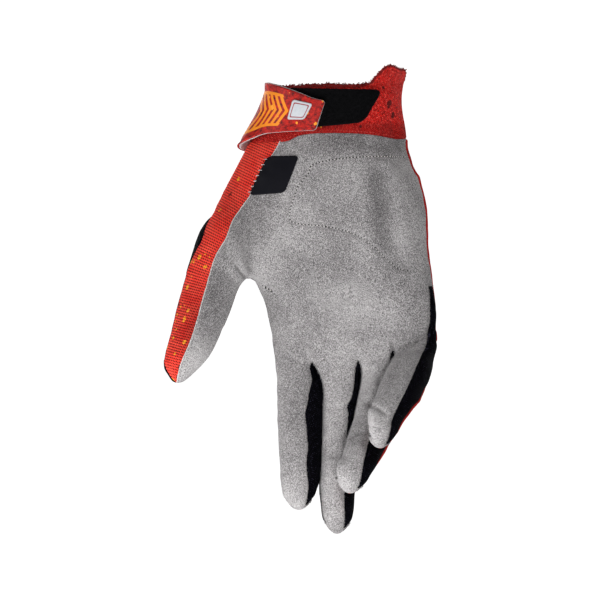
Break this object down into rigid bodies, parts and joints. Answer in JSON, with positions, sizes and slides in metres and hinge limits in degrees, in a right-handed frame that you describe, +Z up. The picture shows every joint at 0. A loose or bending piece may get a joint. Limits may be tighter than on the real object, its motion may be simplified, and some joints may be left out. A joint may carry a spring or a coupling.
{
  "type": "motocross glove",
  "caption": "Right-hand motocross glove in the form of a half-closed hand: grey suede palm, red knit back, red ribbed thumb gusset, black mesh between the fingers and a red wrist strap.",
  "frame": {"origin": "middle of the wrist opening, level with the cuff's hem", "axes": "+Z runs up the forearm, out of the wrist opening; +X runs from the thumb's side to the little finger's side; -Y is the palm side, +Y is the back of the hand"},
  "size_m": [0.1359, 0.0696, 0.2355],
  "materials": {
    "suede": "brushed nap, warm grey, mottled",
    "red_knit": "fine matt knit",
    "ribbed_knit": "ribbed knit, matt, flecked with orange",
    "black_mesh": "open knit mesh, matt",
    "cuff_knit": "stretch knit with a raw hem",
    "loop_pile": "looped pile",
    "strap_backing": "satin",
    "strap_print": "printed, coated cloth",
    "badge": "smooth, moulded",
    "label": "smooth, printed"
  },
  "bodies": {
    "root": {"palm_suede": "suede", "back_panel": "red_knit", "fourchette_index_middle": "black_mesh", "fourchette_middle_ring": "black_mesh", "fourchette_ring_little": "black_mesh", "little_side_panel": "black_mesh", "thumb_gusset": "ribbed_knit", "thumb_back_panel": "black_mesh", "cuff": "cuff_knit", "loop_patch": "loop_pile", "strap_backing": "strap_backing", "strap_face": "strap_print", "strap_badge": "badge", "palm_label": "label"}
  },
  "joints": []
}
